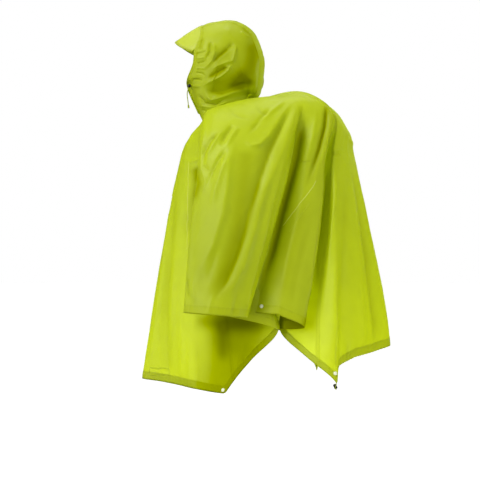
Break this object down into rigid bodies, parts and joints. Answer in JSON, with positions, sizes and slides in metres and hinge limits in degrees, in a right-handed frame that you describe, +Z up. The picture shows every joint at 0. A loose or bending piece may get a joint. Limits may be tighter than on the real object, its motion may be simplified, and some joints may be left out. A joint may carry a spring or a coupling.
{
  "type": "rain poncho",
  "caption": "Hooded rain poncho in thin lime coated nylon, worn over a rucksack, with peaked hood, press studs at the slanted side hems and a hood drawcord.",
  "frame": {"origin": "middle of the neckline, where the garment rests round the wearer's neck", "axes": "+Z up, -Y the wearer's front, +X the wearer's left"},
  "size_m": [0.7512, 0.7819, 1.1237],
  "materials": {
    "coated_nylon": "satin",
    "coated_nylon_hem": "satin",
    "snap_resin": "satin",
    "cord_lock_resin": "matte"
  },
  "bodies": {
    "root": {"front_panel": "coated_nylon", "back_panel": "coated_nylon", "side_panel_left": "coated_nylon", "side_panel_right": "coated_nylon", "hood_left": "coated_nylon", "hood_right": "coated_nylon", "hood_crown_strip": "coated_nylon", "hood_peak": "coated_nylon_hem", "front_placket": "coated_nylon_hem", "collar_flap": "coated_nylon_hem", "hood_drawcord": "coated_nylon_hem", "hood_cord_end": "coated_nylon_hem", "snap_front_corner_left": "snap_resin", "snap_front_corner_right": "snap_resin", "snap_side_left": "snap_resin", "snap_side_right": "snap_resin", "snap_cuff_left": "snap_resin", "snap_cuff_right": "snap_resin", "snap_rear_corner_left": "snap_resin", "snap_rear_corner_right": "snap_resin", "corner_toggle": "cord_lock_resin", "hood_cord_lock": "cord_lock_resin"}
  },
  "joints": []
}
